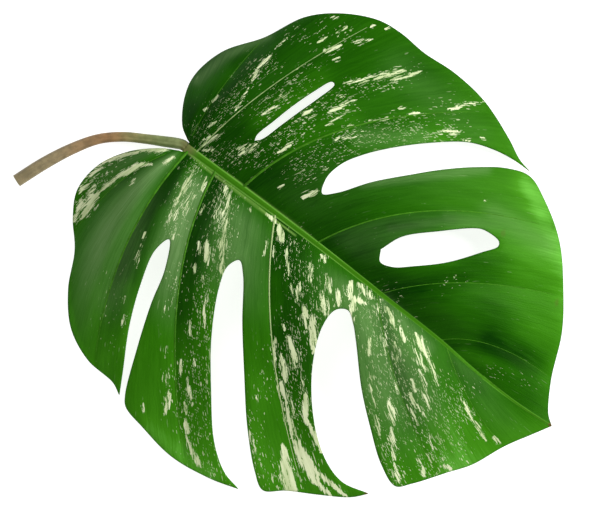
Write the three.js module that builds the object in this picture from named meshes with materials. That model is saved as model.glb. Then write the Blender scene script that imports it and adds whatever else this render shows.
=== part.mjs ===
// A picked monstera leaf: one split and holed blade on its cut petiole, lying face up.
// Millimetres, +Z up. In plan, x runs along the midrib from the petiole joint to the tip,
// and y to the left of it as seen from above. The upper half has y > 0, the lower half y < 0.
import * as THREE from "three";

// Driving dimensions
const BLADE_THICKNESS = 0.8;
const CREST_RISE = 8; // how far each half arches above the midrib
const MARGIN_SAG = 0.5; // how far the vein ends would sink if nothing held them up
const PLEAT_RISE = 3.6; // how far the blade swells between two side veins
const MIDRIB_WIDTH = [5.6, 1]; // at the joint, at the tip
const MIDRIB_RIDGE = [1.5, 0.2]; // height above the upper face
const MIDRIB_KEEL = [3, 0.2]; // depth below the under face
const VEIN_WIDTH = [3.2, 1.2]; // side veins, at the midrib and at the margin
const VEIN_RIDGE = [0.5, 0.1];
const VEIN_KEEL = [1.1, 0.2];
const PETIOLE_RADIUS = 3; // below the knee
const KNEE_SWELL = 0.35; // extra radius of the knee next to the blade
const BASE_SWELL = 0.9; // extra radius at the cut end
const JOINT_GAP = 0.5; // between the petiole and the blade's end face

// Mesh spacing
const MARGIN_STEP = 4.5;
const VEIN_STEP = 8;
const FILL_STEP = 8.5;

// Corners of the margin
const BLADE_TIP = [276, 0.6];
const UPPER_TIP = [172, 114.5];
const THIRD_TIP = [213, -99];
const SECOND_TIP = [149, -144.5];
const FIRST_TIP = [57.5, -143];
const NOTCH_UPPER = [-2.5, 4.2];
const NOTCH_LOWER = [-2.5, -4.2];
const END_FACE_X = -0.6; // the midrib's end face, where the petiole meets it
const END_FACE_HALF = 3.6;

// The margin, clockwise: smooth stretches from corner to corner. A split is part of the stretch it cuts into.
const UPPER_SHOULDER = [
  NOTCH_UPPER, [-10, 9], [-20, 24], [-23.5, 38], [-19, 59], [-4, 81], [8, 106], [24, 121],
  [44, 131.5], [60, 133.5], [78, 132.4], [100, 134], [125, 131.5], [150, 122.5], [163, 116.3], UPPER_TIP,
];
const UPPER_CROWN = [
  UPPER_TIP, [160, 114], [147, 111.5], [132, 105.5], [115, 92], [98, 75], [86, 60], [79.3, 48],
  [77.3, 36], [81, 27], [88, 33], [100, 50], [115, 67], [130, 83], [145, 96.5], [160, 107.3],
  [174, 112], [190, 106], [210, 93.5], [228, 74.5], [246, 50], [259, 22], [270, 5], BLADE_TIP,
];
const FOURTH_FINGER = [
  BLADE_TIP, [270, -10], [261, -26], [252, -47], [243, -60], [230, -78.5], [223, -85.5], [208, -80],
  [190, -67], [170, -50.5], [150, -30], [142, -22.5], [135, -18.5], [129, -23], [129, -36],
  [140, -60], [160, -84], [180, -98.5], [196, -103], THIRD_TIP,
];
const THIRD_FINGER = [
  THIRD_TIP, [206, -107], [190, -117.5], [172, -128], [161, -136], [150, -129.5], [130, -110.5],
  [110, -87], [90, -62.5], [73, -39.5], [66, -34], [62.6, -41], [66, -54], [80, -80], [100, -107],
  [120, -130.5], [136, -141.5], SECOND_TIP,
];
const SECOND_FINGER = [
  SECOND_TIP, [130, -150.2], [105, -153.5], [80, -149.8], [65, -146.3], [60.5, -141], [50, -115.5],
  [40, -87], [34, -65], [25.3, -49.5], [22.5, -60], [28, -82], [38, -107], [50, -129], FIRST_TIP,
];
const FIRST_FINGER = [
  FIRST_TIP, [50, -139.3], [30, -138], [10, -129], [-6, -111], [-17, -90], [-30, -75], [-38, -60],
  [-37, -41], [-27, -23.5], [-12, -9.8], NOTCH_LOWER,
];
const SLIT = [
  [30, 27.6], [29, 31], [32, 44], [35.7, 59], [40, 72.5], [45, 84], [47.4, 83.5],
  [44.5, 70], [40.5, 56.5], [37.5, 46], [33, 31],
];
const WINDOW = [
  [128.6, 22], [134, 35.5], [150, 52], [166, 66.5], [171, 69], [182, 69.2], [183.8, 66.5],
  [178, 57.5], [165, 40], [150, 25.5], [141, 18], [133, 15.8],
];

// Midrib in plan, and its height above the ground
const MIDRIB_LINE = [
  [0, 0], [40, 0.8], [100, 1.5], [150, 1], [190, 0.6], [220, -1.2], [250, -1.4], BLADE_TIP,
];
const MIDRIB_HEIGHT = [[0, 15], [70, 19], [150, 17], [220, 9], [276, 1.2]];

// Side veins from the joint to the tip: where each leaves the midrib, bends and ends.
// The first and last of a half only bound it and carry no ridge; the last lies along the midrib.
const UPPER_VEINS = {
  rootX: [-1, 0, 6, 41, 96, 145, 190, 235],
  bend: [[-15, 7], [-9, 40], [13, 62], [53, 72], [124, 66], [172, 40], [212, 24], [256, -2]],
  end: [[-31, 35], [-2, 98], [46, 134], [135, 131], [207, 97], [237, 68], [262, 23], [278, 1.2]],
};
const LOWER_VEINS = {
  rootX: [-1, -1, 2, 22, 66, 142, 195, 235],
  bend: [[-16, -5], [-25, -34], [-4, -72], [34, -76], [100, -64], [178, -38], [222, -20], [256, -2]],
  end: [[-42, -24], [-24, -84], [36, -141], [116, -154], [184, -124], [240, -66], [263, -28], [278, 1.2]],
};
const FULL_VEIN = 130; // a side vein this long has the full arch and pleat

// Petiole from the joint to the cut end
const PETIOLE_ROUTE = [
  [0, 0, 13.4], [-3, 0, 13.3], [-7, -1.7, 12.1], [-13, -5, 10.3], [-22, -10, 8.4], [-35, -18, 6.4],
  [-46, -28, 5], [-55, -42, 4.2], [-63, -59, 3.9], [-70, -78, 3.8],
];
const PETIOLE_STEPS = 26;
const PETIOLE_SIDES = 14;
const KNEE_LENGTH = 20;
const GROOVE_DEPTH = 0.16; // share of the radius, along the petiole's upper side
const GROOVE_HALF_ANGLE = 0.55;

const LEAF_COLOUR = 0x2f6b14;
const PETIOLE_COLOUR = 0x7d7f4c;

const { clamp, smoothstep } = THREE.MathUtils;

const smooth = (points) =>
  new THREE.CatmullRomCurve3(points.map(([x, y]) => new THREE.Vector3(x, y, 0)), false, "centripetal");

const mix = ([from, to], share) => from + (to - from) * clamp(share, 0, 1);

// A rounded ridge: 1 on its line, 0 at half its width
const ridge = (distance, width) => {
  const share = Math.min(1, Math.abs(distance) / (width / 2));
  return Math.cos((share * Math.PI) / 2) ** 2;
};

// Value at x of a smooth graph through [x, value] points
function graph(points) {
  const samples = smooth(points).getPoints(points.length * 24);
  return (x) => {
    const after = samples.findIndex((p) => p.x >= x);
    if (after === 0) return samples[0].y;
    if (after < 0) return samples.at(-1).y;
    const [a, b] = [samples[after - 1], samples[after]];
    return a.y + ((b.y - a.y) * (x - a.x)) / (b.x - a.x);
  };
}

const midribY = graph(MIDRIB_LINE);
const midribHeight = graph(MIDRIB_HEIGHT);

// One half's veins as a smooth family: vein number w, and share t of the way from the midrib to the margin
class VeinField {
  constructor({ rootX, bend, end }) {
    const root = rootX.map((x) => [x, midribY(x)]);
    this.count = root.length - 1;
    const curve = (line) => new THREE.SplineCurve(line.map((p) => new THREE.Vector2(...p)));
    this.lines = [root, bend, end].map(curve);
    this.lattice = [];
    for (let w = 0; w <= this.count; w += 0.125)
      for (let t = 0; t <= 1.2; t += 0.05) this.lattice.push({ w, t, at: this.point(w, t) });
  }

  controls(w) {
    return this.lines.map((line) => line.getPoint(w / this.count));
  }

  point(w, t) {
    const [root, bend, end] = this.controls(w);
    const toRoot = (1 - t) ** 2;
    const toBend = 2 * t * (1 - t);
    return new THREE.Vector2(
      toRoot * root.x + toBend * bend.x + t * t * end.x,
      toRoot * root.y + toBend * bend.y + t * t * end.y,
    );
  }

  // How a point moves with w and with t
  slopes(w, t) {
    const step = 1e-3;
    const inner = clamp(w, step, this.count - step);
    const across = this.point(inner + step, t).sub(this.point(inner - step, t)).divideScalar(2 * step);
    const along = this.point(inner, t + step).sub(this.point(inner, t - step)).divideScalar(2 * step);
    return { across, along };
  }

  // Vein number and share of a point in plan: the nearest lattice point, then Newton's method
  locate(x, y) {
    const target = new THREE.Vector2(x, y);
    let { w, t } = this.lattice.reduce((best, here) =>
      here.at.distanceToSquared(target) < best.at.distanceToSquared(target) ? here : best);
    for (let round = 0; round < 8; round += 1) {
      const miss = target.clone().sub(this.point(w, t));
      const { across, along } = this.slopes(w, t);
      const turn = across.cross(along);
      const wide = w + clamp(miss.cross(along) / turn, -0.2, 0.2);
      const held = wide < 0 || wide > this.count; // at the family's edge a point slides along the last vein
      const slide = held ? miss.dot(along) / along.lengthSq() : across.cross(miss) / turn;
      w = clamp(wide, 0, this.count);
      t = clamp(t + clamp(slide, -0.1, 0.1), 0, 1.25);
    }
    return { w, t };
  }
}

const upperField = new VeinField(UPPER_VEINS);
const lowerField = new VeinField(LOWER_VEINS);

// Upper and under face heights at a point in plan
function faces(x, y) {
  const field = y >= midribY(x) ? upperField : lowerField;
  const { w, t } = field.locate(x, y);
  const [root, , end] = field.controls(w);
  const rootHeight = midribHeight(root.x);
  const fullness = Math.min(1, root.distanceTo(end) / FULL_VEIN) * smoothstep(field.count - w, 0, 2);
  const arch = fullness * CREST_RISE * 6.75 * t * (1 - t) ** 2;
  const droop = (rootHeight + MARGIN_SAG) * t ** 2.2;
  const swell = fullness * PLEAT_RISE * smoothstep(t, 0, 0.35) * (1 - 0.35 * t);
  const pleat = swell * Math.abs(Math.sin(Math.PI * w));
  const surface = rootHeight + arch - droop + pleat;

  const { across, along } = field.slopes(w, t);
  const nearest = Math.round(w);
  const carries = nearest > 0 && nearest < field.count ? 1 : 0;
  const offVein = (w - nearest) * Math.abs(across.cross(along.normalize()));
  const vein = carries * ridge(offVein, mix(VEIN_WIDTH, t));
  const toTip = x / BLADE_TIP[0];
  const midrib = ridge(y - midribY(x), mix(MIDRIB_WIDTH, toTip));

  const raised = Math.max(midrib * mix(MIDRIB_RIDGE, toTip), vein * mix(VEIN_RIDGE, t));
  const sunk = Math.max(midrib * mix(MIDRIB_KEEL, toTip), vein * mix(VEIN_KEEL, t));
  const under = Math.max(0, surface - BLADE_THICKNESS - sunk); // the ground holds the low points up
  return { under, upper: Math.max(surface + raised, under + BLADE_THICKNESS) };
}

// Plan outline: closed loops of points, the margin first and then the holes
function sampled(points) {
  const curve = smooth(points);
  return curve.getSpacedPoints(Math.ceil(curve.getLength() / MARGIN_STEP)).slice(0, -1);
}

function outline() {
  const stretches = [UPPER_SHOULDER, UPPER_CROWN, FOURTH_FINGER, THIRD_FINGER, SECOND_FINGER, FIRST_FINGER];
  const endFace = [-END_FACE_HALF, 0, END_FACE_HALF].map((y) => new THREE.Vector3(END_FACE_X, y, 0));
  const notch = [new THREE.Vector3(...NOTCH_LOWER, 0), ...endFace];
  const margin = [...stretches.flatMap(sampled), ...notch];
  const holes = [SLIT, WINDOW].map((points) => sampled([...points, points[0]]));
  return [margin, ...holes].map((loop) => loop.map((p) => new THREE.Vector2(p.x, p.y)));
}

// True inside the margin and outside the holes
function isInside(point, loops) {
  let crossings = 0;
  for (const loop of loops)
    loop.forEach((a, i) => {
      const b = loop[(i + 1) % loop.length];
      const spans = a.y > point.y !== b.y > point.y;
      if (spans && point.x < a.x + ((b.x - a.x) * (point.y - a.y)) / (b.y - a.y)) crossings += 1;
    });
  return crossings % 2 === 1;
}

// Points inside the outline: rows along the midrib and the side veins, then an even fill between them
function innerPoints(loops) {
  const margin = loops.flat();
  const kept = [];
  const add = (point, clear) => {
    const near = (other) => other.distanceTo(point) < clear;
    if (margin.some((other) => other.distanceTo(point) < 0.6 * MARGIN_STEP)) return;
    if (!kept.some(near) && isInside(point, loops)) kept.push(point);
  };
  for (let x = 4; x < BLADE_TIP[0] - 4; x += VEIN_STEP)
    for (const share of [0, -0.5, 0.5, -1, 1]) {
      const offset = (share * mix(MIDRIB_WIDTH, x / BLADE_TIP[0])) / 2;
      add(new THREE.Vector2(x, midribY(x) + offset), 0.3);
    }
  for (const field of [upperField, lowerField])
    for (let vein = 1; vein < field.count; vein += 1)
      for (let t = 0.06; t < 1; t += VEIN_STEP / field.point(vein, 0).distanceTo(field.point(vein, 1)))
        for (const share of [0, -0.5, 0.5]) {
          const { along } = field.slopes(vein, t);
          const side = new THREE.Vector2(-along.y, along.x).setLength(mix(VEIN_WIDTH, t));
          add(field.point(vein, t).addScaledVector(side, share), 1);
        }
  const box = new THREE.Box2().setFromPoints(margin);
  const rowStep = (FILL_STEP * Math.sqrt(3)) / 2;
  for (let row = 0; box.min.y + row * rowStep < box.max.y; row += 1)
    for (let x = box.min.x + ((row % 2) * FILL_STEP) / 2; x < box.max.x; x += FILL_STEP)
      add(new THREE.Vector2(x, box.min.y + row * rowStep), 0.55 * FILL_STEP);
  return kept;
}

// Delaunay triangles of points in plan, as index triples
function delaunay(points) {
  const far = 1e5;
  const frame = [[-far, -far], [far, -far], [0, far]].map((corner) => new THREE.Vector2(...corner));
  const all = [...points, ...frame];
  const circled = (a, b, c) => {
    const [p, q, r] = [all[a], all[b], all[c]];
    const [qx, qy, rx, ry] = [q.x - p.x, q.y - p.y, r.x - p.x, r.y - p.y];
    const twice = 2 * (qx * ry - qy * rx);
    const [qq, rr] = [qx * qx + qy * qy, rx * rx + ry * ry];
    const [ux, uy] = [(ry * qq - qy * rr) / twice, (qx * rr - rx * qq) / twice];
    return { corners: [a, b, c], x: p.x + ux, y: p.y + uy, reach: ux * ux + uy * uy };
  };
  let triangles = [circled(points.length, points.length + 1, points.length + 2)];
  points.forEach((point, index) => {
    const hit = (t) => (t.x - point.x) ** 2 + (t.y - point.y) ** 2 < t.reach;
    const edges = new Map();
    for (const { corners } of triangles.filter(hit))
      corners.forEach((from, i) => {
        const to = corners[(i + 1) % 3];
        if (!edges.delete(`${to},${from}`)) edges.set(`${from},${to}`, [from, to]);
      });
    const fresh = [...edges.values()].map(([from, to]) => circled(from, to, index));
    triangles = [...triangles.filter((t) => !hit(t)), ...fresh];
  });
  return triangles.map((t) => t.corners).filter((corners) => corners.every((c) => c < points.length));
}

// Triangles of the plan outline. A margin edge that they miss gets a point at its middle, and so on.
function planMesh() {
  let loops = outline();
  const inner = innerPoints(loops);
  for (;;) {
    const points = [...loops.flat(), ...inner];
    const triangles = delaunay(points);
    const edges = new Set(triangles.flatMap(([a, b, c]) => [`${a},${b}`, `${b},${c}`, `${c},${a}`]));
    let first = 0;
    let missed = 0;
    const split = loops.map((loop) => {
      const whole = loop.flatMap((point, i) => {
        const next = (i + 1) % loop.length;
        const met = edges.has(`${first + i},${first + next}`) || edges.has(`${first + next},${first + i}`);
        missed += met ? 0 : 1;
        return met ? [point] : [point, point.clone().lerp(loop[next], 0.5)];
      });
      first += loop.length;
      return whole;
    });
    if (missed === 0) {
      const middle = ([a, b, c]) => points[a].clone().add(points[b]).add(points[c]).divideScalar(3);
      return { points, triangles: triangles.filter((t) => isInside(middle(t), loops)) };
    }
    loops = split;
  }
}

// The blade: the plan mesh lifted to both faces alike, with walls along its free edges
function bladeGeometry() {
  const { points, triangles } = planMesh();
  const heights = points.map((p) => faces(p.x, p.y));
  const upper = points.flatMap((p, i) => [p.x, p.y, heights[i].upper]);
  const under = points.flatMap((p, i) => [p.x, p.y, heights[i].under]);
  const count = points.length;
  const free = new Map();
  for (const triangle of triangles)
    triangle.forEach((from, i) => {
      const to = triangle[(i + 1) % 3];
      if (!free.delete(`${to},${from}`)) free.set(`${from},${to}`, [from, to]);
    });
  const walls = [...free.values()].flatMap(([a, b]) => [b, a, a + count, b, a + count, b + count]);
  const lids = triangles.flatMap(([a, b, c]) => [a, b, c, c + count, b + count, a + count]);
  const geometry = new THREE.BufferGeometry();
  geometry.setAttribute("position", new THREE.Float32BufferAttribute([...upper, ...under], 3));
  geometry.setIndex([...lids, ...walls]);
  return geometry;
}

// The petiole: a turned profile with a knee at the blade and a swollen cut end, bent along its route
function petioleGeometry() {
  const route = new THREE.CatmullRomCurve3(PETIOLE_ROUTE.map((p) => new THREE.Vector3(...p)));
  const length = route.getLength();
  const start = Math.abs(END_FACE_X) + JOINT_GAP;
  const profile = [new THREE.Vector2(0, start)];
  for (let step = 0; step <= PETIOLE_STEPS; step += 1) {
    const run = start + ((length - start) * step) / PETIOLE_STEPS;
    const knee = KNEE_SWELL * Math.sin(Math.PI * Math.min(1, run / KNEE_LENGTH));
    const base = BASE_SWELL * smoothstep(run, 0.4 * length, length);
    profile.push(new THREE.Vector2(PETIOLE_RADIUS + knee + base, run));
  }
  profile.push(new THREE.Vector2(0, length));
  const geometry = new THREE.LatheGeometry(profile, PETIOLE_SIDES);
  const position = geometry.getAttribute("position");
  const up = new THREE.Vector3(0, 0, 1);
  for (let i = 0; i < position.count; i += 1) {
    const [across, run, above] = [position.getX(i), position.getY(i), position.getZ(i)];
    const fromTop = Math.abs(Math.atan2(across, above));
    const groove = 1 - GROOVE_DEPTH * smoothstep(GROOVE_HALF_ANGLE - fromTop, 0, GROOVE_HALF_ANGLE);
    const share = Math.min(1, run / length);
    const along = route.getTangentAt(share);
    const side = new THREE.Vector3().crossVectors(along, up).normalize();
    const raised = new THREE.Vector3().crossVectors(side, along);
    const at = route.getPointAt(share);
    at.addScaledVector(side, across * groove).addScaledVector(raised, above * groove);
    position.setXYZ(i, at.x, at.y, Math.max(0, at.z));
  }
  return geometry;
}

function piece(name, geometry, color, roughness) {
  const mesh = new THREE.Mesh(geometry, new THREE.MeshStandardMaterial({ color, roughness, metalness: 0 }));
  mesh.name = name;
  return mesh;
}

const leaf = new THREE.Group();
leaf.add(piece("leaf_blade", bladeGeometry(), LEAF_COLOUR, 0.4));
leaf.add(piece("petiole", petioleGeometry(), PETIOLE_COLOUR, 0.55));

// The part's origin is on the ground under the middle of its box
const box = new THREE.Box3().setFromObject(leaf);
const middle = box.getCenter(new THREE.Vector3());
leaf.position.set(-middle.x, -middle.y, -box.min.z);

export default leaf;
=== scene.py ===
import math

import bpy
import numpy as np
from mathutils import Matrix, Vector
from mathutils.geometry import delaunay_2d_cdt
from mathutils.kdtree import KDTree


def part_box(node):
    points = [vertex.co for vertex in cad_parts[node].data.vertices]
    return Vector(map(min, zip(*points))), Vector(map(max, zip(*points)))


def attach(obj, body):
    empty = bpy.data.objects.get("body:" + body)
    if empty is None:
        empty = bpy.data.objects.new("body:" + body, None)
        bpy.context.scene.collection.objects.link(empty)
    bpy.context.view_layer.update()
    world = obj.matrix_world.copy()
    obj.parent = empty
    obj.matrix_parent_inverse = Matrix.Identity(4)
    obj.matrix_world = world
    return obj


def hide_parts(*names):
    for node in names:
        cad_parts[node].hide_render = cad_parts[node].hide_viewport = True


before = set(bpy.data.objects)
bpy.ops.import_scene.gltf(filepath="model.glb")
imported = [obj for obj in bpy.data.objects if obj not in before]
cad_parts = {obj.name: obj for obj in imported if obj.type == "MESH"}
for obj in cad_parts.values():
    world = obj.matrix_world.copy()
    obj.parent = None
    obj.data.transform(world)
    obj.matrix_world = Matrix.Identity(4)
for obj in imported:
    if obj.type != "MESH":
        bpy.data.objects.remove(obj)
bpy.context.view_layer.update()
mm = 0.001
print("leaf frame loaded:", sorted(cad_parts))


# Node trees

def operation(name, turned=False):  # a sign of maths, for a wire on its left or, turned, on its right
    if turned:
        return lambda wire, other: wire.tree.maths(name, other, wire)
    return lambda wire, other: wire.tree.maths(name, wire, other)


class Wire:  # a value in a node tree, so that maths on it reads as maths
    def __init__(self, tree, socket):
        self.tree = tree
        self.socket = socket

    def also(self, output):  # another output of the same node
        return Wire(self.tree, self.socket.node.outputs[output])

    __add__ = operation("ADD")
    __radd__ = operation("ADD", turned=True)
    __sub__ = operation("SUBTRACT")
    __rsub__ = operation("SUBTRACT", turned=True)
    __mul__ = operation("MULTIPLY")
    __rmul__ = operation("MULTIPLY", turned=True)


class Tree:
    def __init__(self, nodeTree):
        self.nodeTree = nodeTree

    def add(self, kind, settings=None, sockets=None, out=0):
        node = self.nodeTree.nodes.new(kind)
        for name, value in (settings or {}).items():
            if name == "stops":
                while len(node.color_ramp.elements) < len(value):
                    node.color_ramp.elements.new(1.0)
                for stop, (place, colour) in zip(node.color_ramp.elements, value):
                    stop.position = place
                    stop.color = colour
            else:
                setattr(node, name, value)
        for name, value in (sockets or {}).items():
            if isinstance(value, Wire):
                self.nodeTree.links.new(value.socket, node.inputs[name])
            else:
                node.inputs[name].default_value = value
        return Wire(self, node.outputs[out])

    def maths(self, operation, *values):
        return self.add("ShaderNodeMath", {"operation": operation}, dict(enumerate(values)))

    def step(self, value, low, high):  # smooth 0 to 1 as value goes from low to high
        return self.add("ShaderNodeMapRange", {"interpolation_type": "SMOOTHSTEP"},
                        {"Value": value, "From Min": low, "From Max": high})

    def blend(self, share, colourA, colourB):
        return self.add("ShaderNodeMix", {"data_type": "RGBA"}, {0: share, 6: colourA, 7: colourB}, out=2)

    def noise(self, vector, scale, detail=2.0, roughness=0.5, distortion=0.0):
        return self.add("ShaderNodeTexNoise", {"noise_dimensions": "3D"},
                        {"Vector": vector, "Scale": scale, "Detail": detail,
                         "Roughness": roughness, "Distortion": distortion})

    def stretched(self, vector, scale):
        return self.add("ShaderNodeMapping", {}, {"Vector": vector, "Scale": scale})

    def attribute(self, name):
        return self.add("ShaderNodeAttribute", {"attribute_name": name}, out=2)

    def place(self):  # the point in the piece's own coordinates
        return self.add("ShaderNodeTexCoord", out=3)


def newMaterial(name, **constants):  # a Principled surface with its constant sockets set
    material = bpy.data.materials.new(name)
    material.use_nodes = True
    tree = Tree(material.node_tree)
    surface = material.node_tree.nodes["Principled BSDF"]
    for socket, value in constants.items():
        surface.inputs[socket.replace("_", " ")].default_value = value
    return material, tree, surface.inputs


def feed(socket, wire):
    wire.tree.nodeTree.links.new(wire.socket, socket)


def relief(tree, sockets, height, strength, depth):  # fine bumps, their depth in millimetres
    bump = tree.add("ShaderNodeBump", {}, {"Height": height, "Strength": strength, "Distance": depth * mm})
    feed(sockets["Normal"], bump)


def newGrowth(name, inputs):  # a Geometry Nodes tree with named inputs
    group = bpy.data.node_groups.new(name, "GeometryNodeTree")
    group.interface.new_socket("Geometry", in_out="INPUT", socket_type="NodeSocketGeometry")
    for label, kind in inputs.items():
        group.interface.new_socket(label, in_out="INPUT", socket_type="NodeSocket" + kind)
    group.interface.new_socket("Geometry", in_out="OUTPUT", socket_type="NodeSocketGeometry")
    tree = Tree(group)
    entry = group.nodes.new("NodeGroupInput")
    return tree, {socket.name: Wire(tree, socket) for socket in entry.outputs if socket.name}


def closeGrowth(tree, geometry, finish):
    whole = tree.add("GeometryNodeRealizeInstances", {}, {"Geometry": geometry})
    dressed = tree.add("GeometryNodeSetMaterial", {}, {"Geometry": whole, "Material": finish})
    leaving = tree.nodeTree.nodes.new("NodeGroupOutput")
    tree.nodeTree.links.new(dressed.socket, leaving.inputs[0])
    return tree


def grow(name, carrier, tree, values):  # what the tree makes of a carrier, as a plain mesh
    piece = bpy.data.objects.new(name, carrier)
    bpy.context.scene.collection.objects.link(piece)
    growth = piece.modifiers.new("growth", "NODES")
    growth.node_group = tree.nodeTree
    for item in tree.nodeTree.interface.items_tree:
        if item.in_out == "INPUT" and item.name in values:
            growth[item.identifier] = values[item.name]
    view = bpy.context.evaluated_depsgraph_get()
    mesh = bpy.data.meshes.new_from_object(piece.evaluated_get(view), preserve_all_data_layers=True,
                                           depsgraph=view)
    piece.modifiers.clear()
    piece.data = mesh
    print(name + ":", len(mesh.vertices), "vertices,", len(mesh.polygons), "faces")
    return piece


def ring(tree, sides):
    return tree.add("GeometryNodeCurvePrimitiveCircle", {"mode": "RADIUS"},
                    {"Resolution": sides, "Radius": 1.0})


def sweep(tree, path, profile, finish):  # the profile swept along the path, as thick as its girth says
    girth = tree.add("GeometryNodeInputNamedAttribute", {"data_type": "FLOAT"}, {"Name": "girth"})
    swept = tree.add("GeometryNodeCurveToMesh", {}, {"Curve": path, "Profile Curve": profile, "Scale": girth,
                                                     "Fill Caps": True})
    rounded = tree.add("GeometryNodeSetShadeSmooth", {}, {"Geometry": swept})
    return closeGrowth(tree, rounded, finish)


def seat(piece, node):  # every piece rides on the leaf's one body
    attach(piece, "root")
    if node:
        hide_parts(node)


# Leaf plan
# Millimetres: x along the midrib from the petiole joint to the tip, y to the left seen from above.

tip, upperTip = (276, 0.6), (172, 114.5)
thirdTip, secondTip, firstTip = (213, -99), (149, -144.5), (57.5, -143)
notchUpper, notchLower = (-2.5, 4.2), (-2.5, -4.2)
endFace = [(-0.6, -3.6), (-0.6, 0), (-0.6, 3.6)]

leafPlan = {
    "margin": [
        [notchUpper, (-10, 9), (-20, 24), (-23.5, 38), (-19, 59), (-4, 81), (8, 106), (24, 121),
         (44, 131.5), (60, 133.5), (78, 132.4), (100, 134), (125, 131.5), (150, 122.5), (163, 116.3),
         upperTip],
        [upperTip, (160, 114), (147, 111.5), (132, 105.5), (115, 92), (98, 75), (86, 60), (79.3, 48),
         (77.3, 36), (81, 27), (88, 33), (100, 50), (115, 67), (130, 83), (145, 96.5), (160, 107.3),
         (174, 112), (190, 106), (210, 93.5), (228, 74.5), (246, 50), (259, 22), (270, 5), tip],
        [tip, (270, -10), (261, -26), (252, -47), (243, -60), (230, -78.5), (223, -85.5), (208, -80),
         (190, -67), (170, -50.5), (150, -30), (142, -22.5), (135, -18.5), (129, -23), (129, -36),
         (140, -60), (160, -84), (180, -98.5), (196, -103), thirdTip],
        [thirdTip, (206, -107), (190, -117.5), (172, -128), (161, -136), (150, -129.5), (130, -110.5),
         (110, -87), (90, -62.5), (73, -39.5), (66, -34), (62.6, -41), (66, -54), (80, -80), (100, -107),
         (120, -130.5), (136, -141.5), secondTip],
        [secondTip, (130, -150.2), (105, -153.5), (80, -149.8), (65, -146.3), (60.5, -141), (50, -115.5),
         (40, -87), (34, -65), (25.3, -49.5), (22.5, -60), (28, -82), (38, -107), (50, -129), firstTip],
        [firstTip, (50, -139.3), (30, -138), (10, -129), (-6, -111), (-17, -90), (-30, -75), (-38, -60),
         (-37, -41), (-27, -23.5), (-12, -9.8), notchLower],
    ],
    "slit": [(30, 27.6), (29, 31), (32, 44), (35.7, 59), (40, 72.5), (45, 84), (47.4, 83.5), (44.5, 70),
             (40.5, 56.5), (37.5, 46), (33, 31)],
    "window": [(128.6, 22), (134, 35.5), (150, 52), (166, 66.5), (171, 69), (182, 69.2), (183.8, 66.5),
               (178, 57.5), (165, 40), (150, 25.5), (141, 18), (133, 15.8)],
    "midribLine": [(0, 0), (40, 0.8), (100, 1.5), (150, 1), (190, 0.6), (220, -1.2), (250, -1.4), tip],
    "midribHeight": [(0, 15), (70, 19), (150, 17), (220, 9), (276, 1.2)],
    "upperVeins": {
        "rootX": [-1, 0, 6, 41, 96, 145, 190, 235],
        "bend": [(-15, 7), (-9, 40), (13, 62), (53, 72), (124, 66), (172, 40), (212, 24), (256, -2)],
        "end": [(-31, 35), (-2, 98), (46, 134), (135, 131), (207, 97), (237, 68), (262, 23), (278, 1.2)],
    },
    "lowerVeins": {
        "rootX": [-1, -1, 2, 22, 66, 142, 195, 235],
        "bend": [(-16, -5), (-25, -34), (-4, -72), (34, -76), (100, -64), (178, -38), (222, -20), (256, -2)],
        "end": [(-42, -24), (-24, -84), (36, -141), (116, -154), (184, -124), (240, -66), (263, -28),
                (278, 1.2)],
    },
}


def curvePoints(points, perSpan=24):  # centripetal curve through points
    p = np.array(points, float)
    p = np.vstack([2 * p[0] - p[1], p, 2 * p[-1] - p[-2]])
    s = np.linspace(0, 1, perSpan, endpoint=False)[:, None]
    spans = []
    for a, b, c, d in zip(p, p[1:], p[2:], p[3:]):
        ab, bc, cd = [max(np.linalg.norm(v) ** 0.5, 1e-4) for v in (b - a, c - b, d - c)]
        leave = ((b - a) / ab - (c - a) / (ab + bc) + (c - b) / bc) * bc
        arrive = ((c - b) / bc - (d - b) / (bc + cd) + (d - c) / cd) * bc
        spans.append((2 * s**3 - 3 * s**2 + 1) * b + (s**3 - 2 * s**2 + s) * leave
                     + (3 * s**2 - 2 * s**3) * c + (s**3 - s**2) * arrive)
    return np.vstack(spans + [p[-2][None]])


def evenPoints(line, step):  # the same line with points every step or so, its last point left off
    run = np.r_[0, np.cumsum(np.linalg.norm(np.diff(line, axis=0), axis=1))]
    at = np.linspace(0, run[-1], max(2, math.ceil(run[-1] / step)), endpoint=False)
    return np.stack([np.interp(at, run, line[:, k]) for k in range(line.shape[1])], axis=1)


def graph(points):
    line = curvePoints(points)
    return lambda x: np.interp(x, line[:, 0], line[:, 1])


def smooth(value, low, high):
    s = np.clip((value - low) / (high - low), 0, 1)
    return s * s * (3 - 2 * s)


def ridge(distance, width):
    return np.cos(np.minimum(1, np.abs(distance) / (width / 2)) * math.pi / 2) ** 2


midribY = graph(leafPlan["midribLine"])
midribHeight = graph(leafPlan["midribHeight"])


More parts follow.
